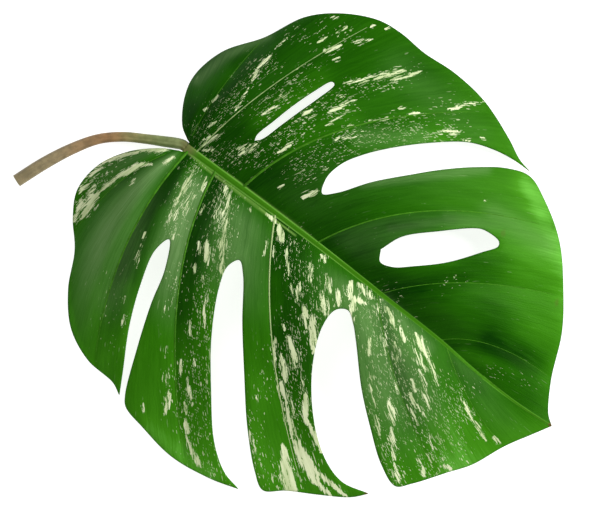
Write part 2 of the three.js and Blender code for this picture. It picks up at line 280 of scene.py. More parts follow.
class VeinField:  # one half's veins: vein number w, share t of the way from the midrib to the margin
    def __init__(self, veins, sign):
        self.sign = sign
        self.lines = [np.array([(x, midribY(x)) for x in veins["rootX"]]), np.array(veins["bend"], float),
                      np.array(veins["end"], float)]
        self.count = len(veins["rootX"]) - 1
        self.w0, self.t0 = [g.ravel() for g in np.meshgrid(np.arange(0, self.count + 0.01, 0.125),
                                                           np.arange(0, 1.21, 0.05), indexing="ij")]
        self.lattice = self.point(self.w0, self.t0)
        middles = self.point(np.arange(self.count + 1.0), np.full(self.count + 1, 0.5))
        self.across0 = np.r_[0, np.cumsum(np.linalg.norm(np.diff(middles, axis=0), axis=1))]

    def controls(self, w):
        k = np.clip(np.floor(w).astype(int), 0, self.count - 1)
        s = (w - k)[:, None]
        made = []
        for line in self.lines:
            a, b, c, d = [line[np.clip(k + i, 0, self.count)] for i in (-1, 0, 1, 2)]
            u, v = (c - a) / 2, (d - b) / 2
            made.append((2 * b - 2 * c + u + v) * s**3 + (3 * c - 3 * b - 2 * u - v) * s**2 + u * s + b)
        return made

    def point(self, w, t):
        root, bend, end = self.controls(w)
        t = t[:, None]
        return (1 - t) ** 2 * root + 2 * t * (1 - t) * bend + t**2 * end

    def slopes(self, w, t, step=1e-3):
        inner = np.clip(w, step, self.count - step)
        across = (self.point(inner + step, t) - self.point(inner - step, t)) / (2 * step)
        along = (self.point(inner, t + step) - self.point(inner, t - step)) / (2 * step)
        return across, along

    def locate(self, points):
        start = KDTree(len(self.lattice))
        for i, p in enumerate(self.lattice):
            start.insert((p[0], p[1], 0), i)
        start.balance()
        nearest = np.array([start.find((p[0], p[1], 0))[1] for p in points], int)
        w, t = self.w0[nearest].copy(), self.t0[nearest].copy()
        for _ in range(8):
            miss = points - self.point(w, t)
            across, along = self.slopes(w, t)
            turn = across[:, 0] * along[:, 1] - across[:, 1] * along[:, 0]
            turn = np.where(np.abs(turn) < 1e-6, 1e-6, turn)
            wide = w + np.clip((miss[:, 0] * along[:, 1] - miss[:, 1] * along[:, 0]) / turn, -0.2, 0.2)
            held = (wide < 0) | (wide > self.count)
            slide = np.where(held, (miss * along).sum(1) / (along**2).sum(1),
                             (across[:, 0] * miss[:, 1] - across[:, 1] * miss[:, 0]) / turn)
            w = np.clip(wide, 0, self.count)
            t = np.clip(t + np.clip(slide, -0.1, 0.1), 0, 1.25)
        return w, t

    def length(self, w):
        root, _, end = self.controls(w)
        return np.linalg.norm(end - root, axis=1)

    def flow(self, w, t):  # along the vein and across the veins, in metres
        across = np.interp(w, np.arange(self.count + 1), self.across0)
        return np.stack([t * self.length(w), self.sign * (across + 400)], axis=1) * mm


upperField = VeinField(leafPlan["upperVeins"], 1)
lowerField = VeinField(leafPlan["lowerVeins"], -1)

bladeForm = {  # millimetres, as in the solid, with a finer rim
    "thickness": 0.8,
    "rimThickness": 0.5,
    "rimRound": 0.15,
    "rimRun": 3.0,  # how far in from the rim it thins
    "crestRise": 8.0,
    "marginSag": 0.5,
    "pleatRise": 3.6,
    "fullVein": 130.0,
    "midribWidth": (5.6, 1.0),
    "midribRidge": (1.5, 0.2),
    "midribKeel": (3.0, 0.2),
    "ripple": 0.28,
    "quilt": 0.07,
    "marginStep": 1.0,
    "topStep": 1.12,  # mesh spacing of the two faces
    "underStep": 1.9,
}


def mixed(ends, share):
    return ends[0] + (ends[1] - ends[0]) * np.clip(share, 0, 1)


def bladeHeights(points):  # heights of both faces, with the vein coordinates they come from
    form = bladeForm
    upper = points[:, 1] >= midribY(points[:, 0])
    result = {key: np.zeros(len(points)) for key in ("w", "t", "surface", "top", "under", "rib")}
    for field, chosen in ((upperField, upper), (lowerField, ~upper)):
        p = points[chosen]
        w, t = field.locate(p)
        rootHeight = midribHeight(field.controls(w)[0][:, 0])
        fullness = np.minimum(1, field.length(w) / form["fullVein"]) * smooth(field.count - w, 0, 2)
        arch = fullness * form["crestRise"] * 6.75 * t * (1 - t) ** 2
        droop = (rootHeight + form["marginSag"]) * t**2.2
        swell = fullness * form["pleatRise"] * smooth(t, 0, 0.35) * (1 - 0.35 * t)
        surface = rootHeight + arch - droop + swell * np.abs(np.sin(math.pi * w))
        flow = field.flow(w, t) / mm
        lively = smooth(t, 0.05, 0.3) * fullness
        out, across = flow.T
        ripple = (np.sin(out / 9.1 + 0.21 * across) + np.sin(out / 5.3 - 0.37 * across + 1.7)
                  + np.sin(out / 16 + 0.11 * across + 4.1)) / 3
        quilt = np.abs(np.sin(math.pi * w * 9))
        surface += lively * (form["ripple"] * ripple + form["quilt"] * quilt)
        toTip = p[:, 0] / tip[0]
        rib = ridge(p[:, 1] - midribY(p[:, 0]), mixed(form["midribWidth"], toTip))
        for key, value in (("w", w), ("t", t), ("surface", surface), ("rib", rib)):
            result[key][chosen] = value
    toTip = points[:, 0] / tip[0]
    keel = result["rib"] * mixed(form["midribKeel"], toTip)
    result["under"] = np.maximum(0, result["surface"] - form["thickness"] - keel)
    result["top"] = np.maximum(result["surface"] + result["rib"] * mixed(form["midribRidge"], toTip),
                               result["under"] + form["thickness"])
    result["upper"] = upper
    return result


def inside(points, loops):
    crossings = np.zeros(len(points), int)
    for loop in loops:
        a, b = loop, np.roll(loop, -1, axis=0)
        for first in range(0, len(points), 4000):
            p = points[first:first + 4000]
            spans = (a[None, :, 1] > p[:, None, 1]) != (b[None, :, 1] > p[:, None, 1])
            with np.errstate(divide="ignore", invalid="ignore"):
                slope = (b[:, 0] - a[:, 0]) / (b[:, 1] - a[:, 1])
                cut = a[None, :, 0] + slope * (p[:, None, 1] - a[None, :, 1])
            crossings[first:first + 4000] += (spans & (p[:, None, 0] < cut)).sum(1)
    return crossings % 2 == 1


def nearTree(points):
    tree = KDTree(len(points))
    for i, p in enumerate(points):
        tree.insert((p[0], p[1], 0), i)
    tree.balance()
    return tree


def distances(points, tree):
    return np.array([tree.find((p[0], p[1], 0))[2] for p in points])


def bladeLoops(step):
    margin = [evenPoints(curvePoints(line), step) for line in leafPlan["margin"]]
    holes = [evenPoints(curvePoints(leafPlan[k] + leafPlan[k][:1]), step) for k in ("slit", "window")]
    return [np.vstack(margin + [np.array([notchLower] + endFace, float)])] + holes


def veinRows(step):  # points along the midrib and the side veins, so that their creases stay sharp
    rows = []
    x = np.arange(1, tip[0] - 1, step)
    half = mixed(bladeForm["midribWidth"], x / tip[0]) / 2
    for share in (0, -0.3, 0.3, -0.6, 0.6, -0.9, 0.9, -1.2, 1.2):
        rows.append(np.stack([x, midribY(x) + share * half], axis=1))
    for field in (upperField, lowerField):
        for vein in range(1, field.count):
            t = np.arange(0.03, 1.1, step / field.length(np.array([float(vein)]))[0])
            w = np.full(len(t), float(vein))
            _, along = field.slopes(w, t)
            side = np.stack([-along[:, 1], along[:, 0]], axis=1) / np.linalg.norm(along, axis=1)[:, None]
            rows += [field.point(w, t) + offset * side for offset in (0, -0.9, 0.9)]
    return rows


def bladePlanMesh(loops, edgeTree, step):  # triangles over the leaf's plan, its margin points first
    edge = np.vstack(loops)
    kept = np.zeros((0, 2))
    for row in veinRows(step):
        row = row[inside(row, loops)]
        row = row[distances(row, edgeTree) > 0.6 * step]
        if len(kept) and len(row):
            row = row[distances(row, nearTree(kept)) > 0.28]
        kept = np.vstack([kept, row])
    low, high = edge.min(0), edge.max(0)
    rowStep = step * math.sqrt(3) / 2
    fill = np.array([(x + (i % 2) * step / 2, low[1] + i * rowStep)
                     for i in range(int((high[1] - low[1]) / rowStep) + 1)
                     for x in np.arange(low[0], high[0], step)])
    fill = fill[inside(fill, loops)]
    fill = fill[distances(fill, nearTree(np.vstack([edge, kept]))) > 0.62 * step]
    points = np.vstack([edge, kept, fill])
    first, rims = 0, []
    for loop in loops:
        rims += [(first + i, first + (i + 1) % len(loop)) for i in range(len(loop))]
        first += len(loop)
    made = delaunay_2d_cdt([Vector(p) for p in points], rims, [], 1, 1e-6)
    points = np.array([tuple(p) for p in made[0]])
    triangles = np.array(made[2])
    a, b, c = [points[triangles[:, k]] for k in range(3)]
    turned = (b[:, 0] - a[:, 0]) * (c[:, 1] - a[:, 1]) - (b[:, 1] - a[:, 1]) * (c[:, 0] - a[:, 0]) < 0
    triangles[turned] = triangles[turned][:, ::-1]
    middles = (a + b + c) / 3
    doubtful = (triangles < len(edge)).all(1)
    keep = np.ones(len(triangles), bool)
    keep[doubtful] = inside(middles[doubtful], loops)
    return points, triangles[keep]


bladeMarkings = {  # strokes in the leaf plan: from, to, half width, strength
    "cream": [
        # basal lobe of the lower half
        ((-5, -17), (-2.5, -8), 1.3, 1.0), ((-10, -20), (-20, -29), 1.6, 1.0),
        ((-15, -24), (-24, -42), 2.2, 1.15), ((-22, -36), (-26, -52), 2, 1.0),
        ((-26, -52), (-25.5, -74), 2.6, 1.15), ((-36, -44), (-36, -62), 3.6, 0.72),
        ((-31, -50), (-28, -76), 3, 0.62), ((-33, -62), (-27, -78), 2.6, 0.7),
        ((-32, -33), (-37, -45), 3, 0.5), ((-7, -7), (-22, -18.4), 1.7, 1.2),
        ((-21, -17.4), (-36, -38), 1.5, 1.1), ((-13, -33), (-13, -39), 1.5, 0.5),
        # left lobe, and the panels on both sides of the second vein
        ((31, -101), (34.5, -109), 1, 1.0), ((19, -104), (22, -112), 1.2, 0.5),
        ((24, -92), (27, -98), 1.2, 0.55), ((11, -6), (13, -14), 1.5, 0.5),
        ((12, -12), (15, -26), 3, 0.42), ((14, -26), (20, -42), 4, 0.4),
        ((20, -6), (23.5, -16), 1.4, 1.1), ((25, -44), (27, -49), 0.9, 1.0),
        ((17, -14), (24, -34), 5, 0.26), ((11, -54), (13, -60), 1, 0.95),
        ((13, -62), (20, -76), 2.5, 0.4), ((29, -20), (31, -27), 1, 0.6),
        ((31, -3), (38, -10), 1.8, 0.6), ((36, -5), (44, -18), 1.6, 0.62), ((40, -14), (50, -28), 2.4, 0.52),
        ((33, -10), (42, -26), 3, 0.36), ((48, -26), (58, -42), 3, 0.5),
        ((43, -36), (52.5, -48), 1.9, 1.15), ((40, -40), (46, -46), 1.5, 0.6),
        ((56, -38), (64, -48), 2.5, 0.55), ((46, -50), (50, -58), 1.4, 0.6),
        ((54, -54), (58, -58), 1.1, 0.9), ((52, -5), (54, -8), 0.9, 0.8),
        ((72, -14), (76, -24), 1.5, 0.5),
        # first finger
        ((65, -67), (74, -79), 1.2, 0.85), ((63, -80), (71, -88), 1.8, 0.55),
        ((62, -60), (66, -68), 2, 0.45), ((73, -102), (79.5, -110), 1.1, 1.1),
        ((82, -108), (97, -122), 1, 0.95), ((80, -97), (84, -101), 1.3, 0.6),
        ((90, -98), (96, -106), 1, 0.5), ((79, -121), (87, -136), 2.4, 0.8),
        ((91, -122), (97, -128), 1, 0.9), ((98, -130), (105, -137), 1.9, 1.05),
        ((103, -137), (122, -149), 1.8, 0.75), ((114, -142), (124, -148), 1.3, 0.85),
        ((70, -110), (78, -122), 2.5, 0.35), ((72, -138), (76, -143), 1.2, 0.6),
        ((47, -82), (50, -90), 1.2, 0.45), ((62, -100), (66, -108), 1.6, 0.4),
        # second finger
        ((71, -2.5), (80, -10.5), 2.4, 1.1), ((60, -2.5), (72, -3), 1.3, 1.0),
        ((77, -14), (82, -22), 1.1, 0.7), ((84, -11), (89, -18), 1.2, 0.7),
        ((88, -16), (95, -24), 1.3, 0.75), ((100, -9), (108, -20), 2, 0.65),
        ((102, -22), (108, -34), 2, 0.65), ((98, -26), (104, -31), 1.2, 0.7),
        ((112, -9), (122, -18), 2.4, 0.55), ((116, -18), (128, -30), 3.4, 0.55),
        ((122, -12), (130, -20), 1.8, 0.95), ((126, -3), (132, -13), 2.2, 0.95),
        ((130, -2), (143, -4), 2.6, 0.75), ((130, -11), (142, -9), 2.2, 0.85),
        ((134, -11), (138, -19), 2, 1.15), ((137, -18), (141.5, -23), 1.8, 1.05),
        ((102, -1.5), (108, -4), 1.6, 0.9), ((112, -32), (120, -37), 1.4, 1.0),
        ((115, -36), (124, -43), 1.5, 0.95), ((120, -33), (133, -50), 2.6, 1.15),
        ((127, -40), (135, -52), 1.8, 1.05), ((108, -48), (113, -51), 0.9, 0.9),
        ((115, -52), (131, -62), 2.4, 1.15), ((126, -60), (132, -66), 1.5, 0.85),
        ((119, -63), (132, -75), 2.3, 1.15), ((109, -56), (122, -73), 1.1, 1.05),
        ((122, -73), (136, -86), 0.9, 0.8), ((134, -62), (143, -72), 1.3, 0.7),
        ((138, -66), (146, -76), 1.2, 0.6), ((128, -76), (140, -85), 1.6, 1.1),
        ((138, -84), (158, -102), 1.7, 1.1), ((136, -78), (150, -90), 0.9, 0.85),
        ((145, -73), (156, -87), 2.6, 1.2), ((150, -82), (158, -88), 1.6, 0.9),
        ((155, -85), (176, -96), 1.9, 1.1), ((148, -91), (168, -104), 1.3, 0.9),
        ((158, -100), (186, -114), 4.8, 1.2), ((175, -107), (206, -108.5), 1.8, 1.1),
        ((180, -112), (196, -114), 2.2, 0.9), ((153, -106), (165, -116), 2.2, 1.1),
        ((158, -112), (179, -129), 5.6, 1.2), ((130, -110), (150, -128), 3, 0.35),
        ((122, -90), (128, -98), 1.5, 0.35),
        # third finger, to the tip
        ((146, -2), (151, -9), 1.2, 0.6), ((152, -3), (166, -11), 2.4, 0.55),
        ((165, -7), (174, -13), 1.8, 0.75), ((175, -5), (190, -12), 2.4, 0.95),
        ((188, -10), (206, -22), 2.4, 0.6), ((180, -12), (195, -20), 2, 0.5),
        ((154.5, -22), (162, -33), 1.1, 1.05), ((168, -16), (178, -27), 2.6, 0.5),
        ((160, -14), (170, -28), 2, 0.35), ((190, -28), (198, -33), 1.3, 1.0),
        ((190, -20), (203, -30), 2.2, 0.5), ((200, -29), (211, -36), 2, 0.65),
        ((193, -34.5), (204, -40), 1.4, 1.0), ((202, -38), (214, -42), 1.3, 0.8),
        ((198, -42), (212, -48), 1.3, 0.85), ((184, -35), (190, -40), 1.2, 0.7),
        ((187, -46), (200, -57), 2.6, 0.62), ((198, -58), (214, -74), 2.2, 0.82),
        ((186, -58), (197, -67), 2, 0.5), ((168, -40), (184, -56), 2.2, 0.32),
        ((223, -56), (232, -61), 1.2, 0.85), ((229, -66), (234, -70.5), 1.6, 1.05),
        ((238, -58), (244, -56.5), 1.5, 1.1), ((222, -19), (236, -26), 1.7, 0.75),
        ((235, -25), (251, -31), 1.8, 0.6), ((251, -26), (259, -27), 1.4, 0.8),
        ((214, -75), (226, -83), 2.2, 0.6), ((218, -48), (228, -54), 1.6, 0.5),
        ((222, -62), (230, -67), 1.6, 0.55),
    ],
    "salt": [  # fine flecks
        ((11, -6), (24, -42), 7, 0.5), ((34, -6), (58, -44), 8, 0.6), ((58, -52), (100, -125), 10, 0.6),
        ((85, -10), (125, -32), 10, 0.6), ((115, -45), (150, -88), 8, 0.6),
        ((150, -10), (215, -50), 14, 0.65), ((215, -25), (240, -62), 14, 0.65),
        ((180, -52), (220, -80), 8, 0.55), ((85, -110), (130, -145), 11, 0.5),
        ((15, -90), (35, -125), 10, 0.1), ((-30, -30), (-32, -74), 5, 0.7),
        ((130, -105), (155, -130), 6, 0.45), ((3, 12), (8, 70), 8, 0.4), ((22, 45), (32, 80), 7, 0.55),
        ((18, 8), (36, 22), 8, 0.6), ((40, 42), (60, 82), 9, 0.7), ((62, 32), (76, 64), 9, 0.65),
        ((76, 66), (118, 104), 9, 0.6), ((12, 95), (36, 112), 8, 0.3), ((60, 90), (80, 118), 6, 0.5),
        ((40, 28), (50, 48), 6, 0.5), ((105, 112), (122, 128), 5, 0.4), ((40, -60), (52, -80), 6, 0.35),
        ((110, -60), (125, -90), 6, 0.25),
        ((225, 5), (252, 14), 4, 0.18), ((172, 30), (180, 38), 3, 0.26),
    ],
    "pale": [  # pale lines along the midrib
        ((2, -2.6), (84, -2.3), 1.0, 1.0), ((24, 3), (100, 3.6), 0.6, 0.5),
    ],
    "grey": [  # painted grey sheen, with some of the leaf's own dull grey-green marbling
        ((-20, 36), (-16, 60), 3.5, 0.42), ((-16, 58), (-3, 83), 3, 0.42), ((72, 116), (132, 112), 11, 0.1),
        ((96, 47), (150, 99), 3.5, 0.4), ((126, 35), (150, 60), 4, 0.2),
        ((150, 60), (180, 80), 5, 0.26), ((80, 68), (108, 90), 6, 0.25), ((-8, -45), (14, -98), 14, 0.3),
        ((170, 80), (206, 86), 8, 0.27), ((150, -3), (186, -8), 5, 0.45),
    ],
    "tone": [  # added to the green's lightness: mostly painted shade and painted sheen, some the leaf's own lighter and darker patches
        ((26, 40), (40, 80), 9, 0.2), ((52, 44), (66, 72), 9, 0.16), ((80, 66), (116, 96), 9, 0.2),
        ((60, -62), (80, -100), 8, 0.12), ((118, -88), (150, -128), 10, 0.1),
        ((24, -88), (44, -116), 6, 0.2), ((214, 19), (246, 26), 8, -0.25),
        ((150, 8), (178, 36), 7, -0.16), ((225, -40), (245, -55), 12, 0.2),
        ((150, -9), (172, -26), 4, -0.1), ((182, -30), (208, -50), 6, -0.1),
        ((186, 50), (210, 34), 14, -0.16), ((204, -6), (226, -8), 5, -0.12),
        ((176, 106), (212, 90), 8, 0.08), ((172, 108), (192, 100), 6, 0.2),
        ((172, 48), (190, 58), 7, -0.12), ((-16, 30), (-8, 50), 6, 0.14),
        ((-12, -55), (5, -95), 12, 0.1), ((10, -105), (35, -130), 10, 0.12),
        ((64, -88), (76, -102), 6, 0.1), ((90, -32), (100, -44), 6, 0.12), ((168, -54), (182, -66), 6, 0.12),
        ((4, -18), (10, -32), 4, -0.16), ((126, 37), (152, 62), 4, -0.08),
        ((222, 62), (246, 42), 10, -0.1), ((206, 4), (222, 7), 4, 0.12), ((236, 24), (254, 8), 8, -0.08),
        ((80, 124), (100, 122), 8, -0.08), ((85, -148), (130, -148), 8, 0.15),
    ],
    "scorch": [  # browned tips and rubbed spots
        ((277, 0.8), (273.5, 0.6), 1.6, 1.0), ((214, -98.5), (210, -101), 1.3, 0.9),
        ((174, 114.6), (170, 114.6), 1.2, 0.8), ((180, 74), (183, 75), 3, 0.22),
        ((232, 61), (234, 62), 3, 0.25),
    ],
}

upperCream = [  # cream strokes of the upper half, as drawn
    # from the petiole to the slit
    ((6, 3.5), (12, 20), 1.8, 0.62), ((8, 4), (14, 9), 1.3, 0.7), ((5, 9), (7.5, 15), 1, 0.8),
    ((3, 17), (5, 23), 1.1, 0.7), ((-5.5, 23), (-4, 27), 1.2, 0.8),
    ((-5, 30), (-3.5, 36), 1.1, 0.95), ((10, 34), (8, 52), 1.2, 0.6), ((7, 54), (5, 64), 1.8, 0.7),
    ((5, 62), (7, 76), 1.7, 0.95), ((6, 79), (7.5, 93), 0.8, 0.7),
    ((23.5, 97), (26.3, 106), 0.9, 0.95), ((30, 95), (36, 106), 2.4, 0.75),
    ((36.5, 94), (40, 100), 1.3, 0.75), ((39, 110), (48.5, 120), 2, 0.72),
    ((29, 109), (32, 118), 1.2, 0.55), ((42.5, 125), (44.5, 128), 1, 1.0),
    ((19, 115), (26, 118), 1.6, 0.6), ((50, 129), (54, 133), 1.4, 0.65),
    ((24, 42.5), (28.5, 52.5), 0.9, 1.05), ((25, 54), (29, 63), 1.5, 0.85),
    ((24, 17), (34, 28), 2.8, 0.52), ((27, 15), (33, 24), 1.6, 0.75),
    # from the slit to the split
    ((45, 29), (49, 41.5), 1.4, 1.05), ((43.5, 57), (46, 63), 1.5, 0.95),
    ((47.5, 57), (50, 63), 1.3, 0.95), ((58, 60), (63, 75), 1, 1.1),
    ((54, 67), (61, 80), 2.4, 0.6),
    ((58, 76), (64, 85), 1.6, 0.65), ((50.5, 87), (60, 98), 1.7, 0.72),
    ((57, 93), (68, 106), 3.2, 0.6), ((64, 102), (76, 118), 3.2, 0.58),
    ((72, 106), (85, 123.5), 1.9, 0.8), ((110, 114), (117, 121), 1.2, 0.8),
    ((112, 118), (122, 127.5), 1.4, 0.95), ((104, 114.5), (106, 116), 0.9, 0.9),
    ((66, 66), (71, 71.5), 1.2, 0.95), ((70, 60), (76.5, 67), 1.1, 0.95),
    ((72.5, 17), (78.5, 27.5), 1.8, 1.2), ((58, 13), (60.5, 18), 1, 0.95),
    ((73, 39), (75.5, 42), 1, 0.9), ((67, 56), (69, 60), 1.2, 0.8),
    ((77, 79), (86.5, 88), 0.9, 0.95), ((84, 91), (87, 94), 1.2, 0.7),
    ((86, 95), (90, 100.5), 0.9, 0.9), ((89.5, 91), (93, 94.5), 1.3, 1.1),
    ((92, 96), (101.5, 103.5), 1, 0.9), ((108, 92), (115, 97), 1.2, 0.65),
    ((114, 100.5), (125, 107.5), 1.3, 0.9), ((128, 104.5), (133, 107.5), 1, 0.85),
    ((135, 111.5), (139, 113.5), 1, 0.7), ((160, 82.5), (161.5, 84), 0.9, 1.0),
    ((174, 23), (175, 25), 0.8, 0.9), ((173.5, 35.5), (174.5, 37.5), 0.8, 0.9),
]
upperShare = {"width": 0.88, "strength": 0.9}  # how much of the drawn strokes shows
bladeMarkings["cream"] += [(start, end, upperShare["width"] * half, upperShare["strength"] * strength)
                           for start, end, half, strength in upperCream]


strokeForm = {
    "girth": 0.76,  # of the half width given
    "ends": 0.12,  # girth at the ends and what the middle adds
    "middle": 0.95,
    "fullness": 0.75,
    "core": 0.3,  # full strength up to here, none past the edge, in girths
    "edge": 1.5,
}


def strokeReach(points, start, end):  # share of the way along a stroke, and the distance from it
    a, run = np.array(start, float), np.subtract(end, start).astype(float)
    along = np.clip(((points - a) @ run) / (run @ run), 0, 1)
    return along, np.linalg.norm(points - a - along[:, None] * run, axis=1)


def strokeShares(points, strokes, spread=1.0):  # each stroke's share at each point, running out to its ends
    form, shares = strokeForm, []
    for start, end, half, strength in strokes:
        along, off = strokeReach(points, start, end)
        bulge = form["ends"] + form["middle"] * (4 * along * (1 - along)) ** form["fullness"]
        girth = form["girth"] * spread * half * bulge
        shares.append(strength * (1 - smooth(off, form["core"] * girth, form["edge"] * girth)))
    return np.array(shares)


def softShares(points, strokes):  # the same with no clear edge
    shares = []
    for start, end, half, strength in strokes:
        shares.append(strength * np.exp(-(strokeReach(points, start, end)[1] / half) ** 2))
    return np.array(shares)


panelShades = {  # one value for each panel between two veins, from the base to the tip
    "upper": {
        "root": (0.05, 0.04, 0.08, 0.13, 0.11, 0.13, 0.22),  # the green's lightness by the midrib, painted shade and sheen included
        "margin": (0.14, 0.2, 0.36, 0.62, 0.87, 0.68, 0.36),  # and at the margin, painted sheen included
        "foldShade": (0, 0, 0.02, 0.06, 0.05, 0.0, 0.1),  # painted shade: how dark the fold beside the vein is
        "foldWidth": (0.3, 0.3, 0.3, 0.3, 0.3, 0.3, 0.3),  # share of the way to the next vein
        "sheen": (0, 0, 0.0, 0.05, 0.12, 0, 0),  # how much painted grey sheen lies on the panel
        "sheenAt": (0.5, 0.5, 0.5, 0.5, 0.2, 0.5, 0.5),  # share of the way to the next vein
        "sheenReach": (0.9, 0.9, 0.9, 0.9, 0.6, 0.9, 0.9),  # share of the way to the margin
    },
    "lower": {
        "root": (0.3, 0.32, 0.32, 0.3, 0.32, 0.29, 0.27),
        "margin": (0.34, 0.42, 0.66, 0.72, 0.56, 0.78, 0.7),
        "foldShade": (0, 0.14, 0.34, 0.34, 0.26, 0.12, 0),
        "foldWidth": (0.3, 0.3, 0.55, 0.42, 0.55, 0.25, 0.3),
        "sheen": (0.3, 0.82, 0.86, 0.46, 0.52, 0.42, 0.1),
        "sheenAt": (0.5, 0.5, 0.82, 0.62, 0.82, 0.22, 0.3),
        "sheenReach": (0.9, 0.95, 0.55, 0.42, 0.8, 0.75, 0.9),
    },
}


def panelTones(points, heights):  # how grey and how light the green is, with painted shade in the folds and painted grey sheen
    w, t = heights["w"], heights["t"]
    panel = np.clip(np.floor(w).astype(int), 0, 6)
    share = w - panel
    grey, tone = np.zeros(len(points)), np.zeros(len(points))
    for half, chosen in (("upper", heights["upper"]), ("lower", ~heights["upper"])):
        looks = {key: np.array(values) for key, values in panelShades[half].items()}
        k, f, out = panel[chosen], share[chosen], t[chosen]
        root, margin = [np.interp(w[chosen], np.arange(7) + 0.5, looks[key]) for key in ("root", "margin")]
        width = looks["foldWidth"][k]
        foldShade = looks["foldShade"][k] * (1 - smooth(f, 0.3 * width, width)) * (1 - smooth(out, 0.5, 0.95))
        tone[chosen] = root + (margin - root) * np.clip(out, 0, 1) ** 1.6 - foldShade
        sheen = looks["sheen"][k] * np.exp(-((f - looks["sheenAt"][k]) / 0.29) ** 2)
        reach = looks["sheenReach"][k]
        grey[chosen] = sheen * smooth(out, 0.02, 0.12) * (1 - smooth(out, 0.6 * reach, 1.2 * reach))
    grey = np.maximum(grey, softShares(points, bladeMarkings["grey"]).max(0))
    return grey, tone + softShares(points, bladeMarkings["tone"]).sum(0)


def addAttribute(mesh, name, values):
    mesh.attributes.new(name, "FLOAT", "POINT").data.foreach_set("value", np.asarray(values, np.float32))


def placed(points, heights):  # leaf plan in millimetres to the part's frame in metres
    return np.column_stack([points * mm + planShift, heights * mm])


def rimEdges(faces):  # the mesh's border, each edge as its face has it
    pairs = np.vstack([faces[:, [0, 1]], faces[:, [1, 2]], faces[:, [2, 0]]])
    known = set(map(tuple, pairs))
    return np.array([(a, b) for a, b in map(tuple, pairs) if (b, a) not in known])


def rimOutward(points, rim):  # the way out of the blade at each border point
    outward = np.zeros((len(points), 2))
    runs = points[rim[:, 1]] - points[rim[:, 0]]
    normals = np.stack([runs[:, 1], -runs[:, 0]], axis=1) / np.linalg.norm(runs, axis=1)[:, None]
    for k in (0, 1):
        np.add.at(outward, rim[:, k], normals)
    return outward / np.maximum(np.linalg.norm(outward, axis=1), 0.3)[:, None]


def addFlow(mesh, plan, points, heights):  # the map along the veins, whole on each side of the midrib
    corners = np.zeros(len(mesh.loops), np.int32)
    mesh.loops.foreach_get("vertex_index", corners)
    polygon = np.zeros(len(mesh.loops), int)
    starts = np.zeros(len(mesh.polygons), np.int32)
    mesh.polygons.foreach_get("loop_start", starts)
    polygon[starts[1:]] = 1
    polygon = np.cumsum(polygon)
    cornerPlan = plan[corners]
    isUpper = np.bincount(polygon, heights["upper"][cornerPlan]) / np.bincount(polygon) > 0.5
    cornerUpper = isUpper[polygon]
    flow = np.zeros((len(corners), 2))
    for field, chosen in ((upperField, cornerUpper), (lowerField, ~cornerUpper)):
        ids = cornerPlan[chosen]
        own = heights["upper"][ids] == (field is upperField)
        w, t = heights["w"][ids].copy(), heights["t"][ids].copy()
        if (~own).any():
            w[~own], t[~own] = field.locate(points[ids[~own]])
        flow[chosen] = field.flow(w, t)
    mesh.uv_layers.new(name="flow").data.foreach_set("uv", flow.astype(np.float32).ravel())


def addMarkings(mesh, plan, points, heights, rimGap):
    # the tone and the grey carry painted shade and painted sheen onto the blade
    grey, tone = panelTones(points, heights)
    shares = {"rib": heights["rib"], "rimGap": rimGap, "toTip": points[:, 0] / tip[0],
              "tone": tone, "grey": grey}
    for marking in ("cream", "pale", "scorch"):
        shares[marking] = strokeShares(points, bladeMarkings[marking]).max(0)
    shares["wisp"] = strokeShares(points, bladeMarkings["cream"], flecks["wispSpread"]).max(0)
    shares["salt"] = softShares(points, bladeMarkings["salt"]).max(0)
    for name, values in shares.items():
        addAttribute(mesh, name, values[plan])


def makeBlade(materials):
    loops = bladeLoops(bladeForm["marginStep"])
    edgeTree = nearTree(np.vstack(loops))
    topPoints, topFaces = bladePlanMesh(loops, edgeTree, bladeForm["topStep"])
    underPoints, underFaces = bladePlanMesh(loops, edgeTree, bladeForm["underStep"])
    count = len(topPoints)
    points = np.vstack([topPoints, underPoints])
    heights = bladeHeights(points)
    rimGap = distances(points, edgeTree)
    thin = (bladeForm["thickness"] - bladeForm["rimThickness"]) * (1 - smooth(rimGap, 0, bladeForm["rimRun"]))
    z = np.r_[(heights["top"] - thin)[:count], heights["under"][count:]]

    rim = rimEdges(topFaces)
    rimIds = np.unique(rim)
    middleId = np.full(count, -1)
    middleId[rimIds] = len(points) + np.arange(len(rimIds))
    rounded = (topPoints + bladeForm["rimRound"] * rimOutward(topPoints, rim))[rimIds]
    spots = np.vstack([placed(points, z), placed(rounded, (z[rimIds] + z[rimIds + count]) / 2)])
    a, b = rim[:, 0], rim[:, 1]
    upperRim = np.stack([b, a, middleId[a], middleId[b]], axis=1)
    lowerRim = np.stack([middleId[b], middleId[a], a + count, b + count], axis=1)
    faces = topFaces.tolist() + upperRim.tolist() + (underFaces[:, ::-1] + count).tolist() + lowerRim.tolist()
    mesh = bpy.data.meshes.new("leaf_blade_fine")
    mesh.from_pydata(spots.tolist(), [], faces)
    slots = np.ones(len(faces), np.int32)
    slots[:len(topFaces) + len(rim)] = 0
    mesh.polygons.foreach_set("material_index", slots)
    mesh.polygons.foreach_set("use_smooth", np.ones(len(faces), bool))
    for material in materials:
        mesh.materials.append(material)

    plan = np.r_[np.arange(len(points)), rimIds]  # each vertex's point in the plan
    addMarkings(mesh, plan, points, heights, rimGap)
    addFlow(mesh, plan, points, heights)
    mesh.validate()
    blade = bpy.data.objects.new("leaf_blade_fine", mesh)
    bpy.context.scene.collection.objects.link(blade)
    print("blade:", len(mesh.vertices), "vertices,", len(mesh.polygons), "faces")
    return blade


# Blade finish

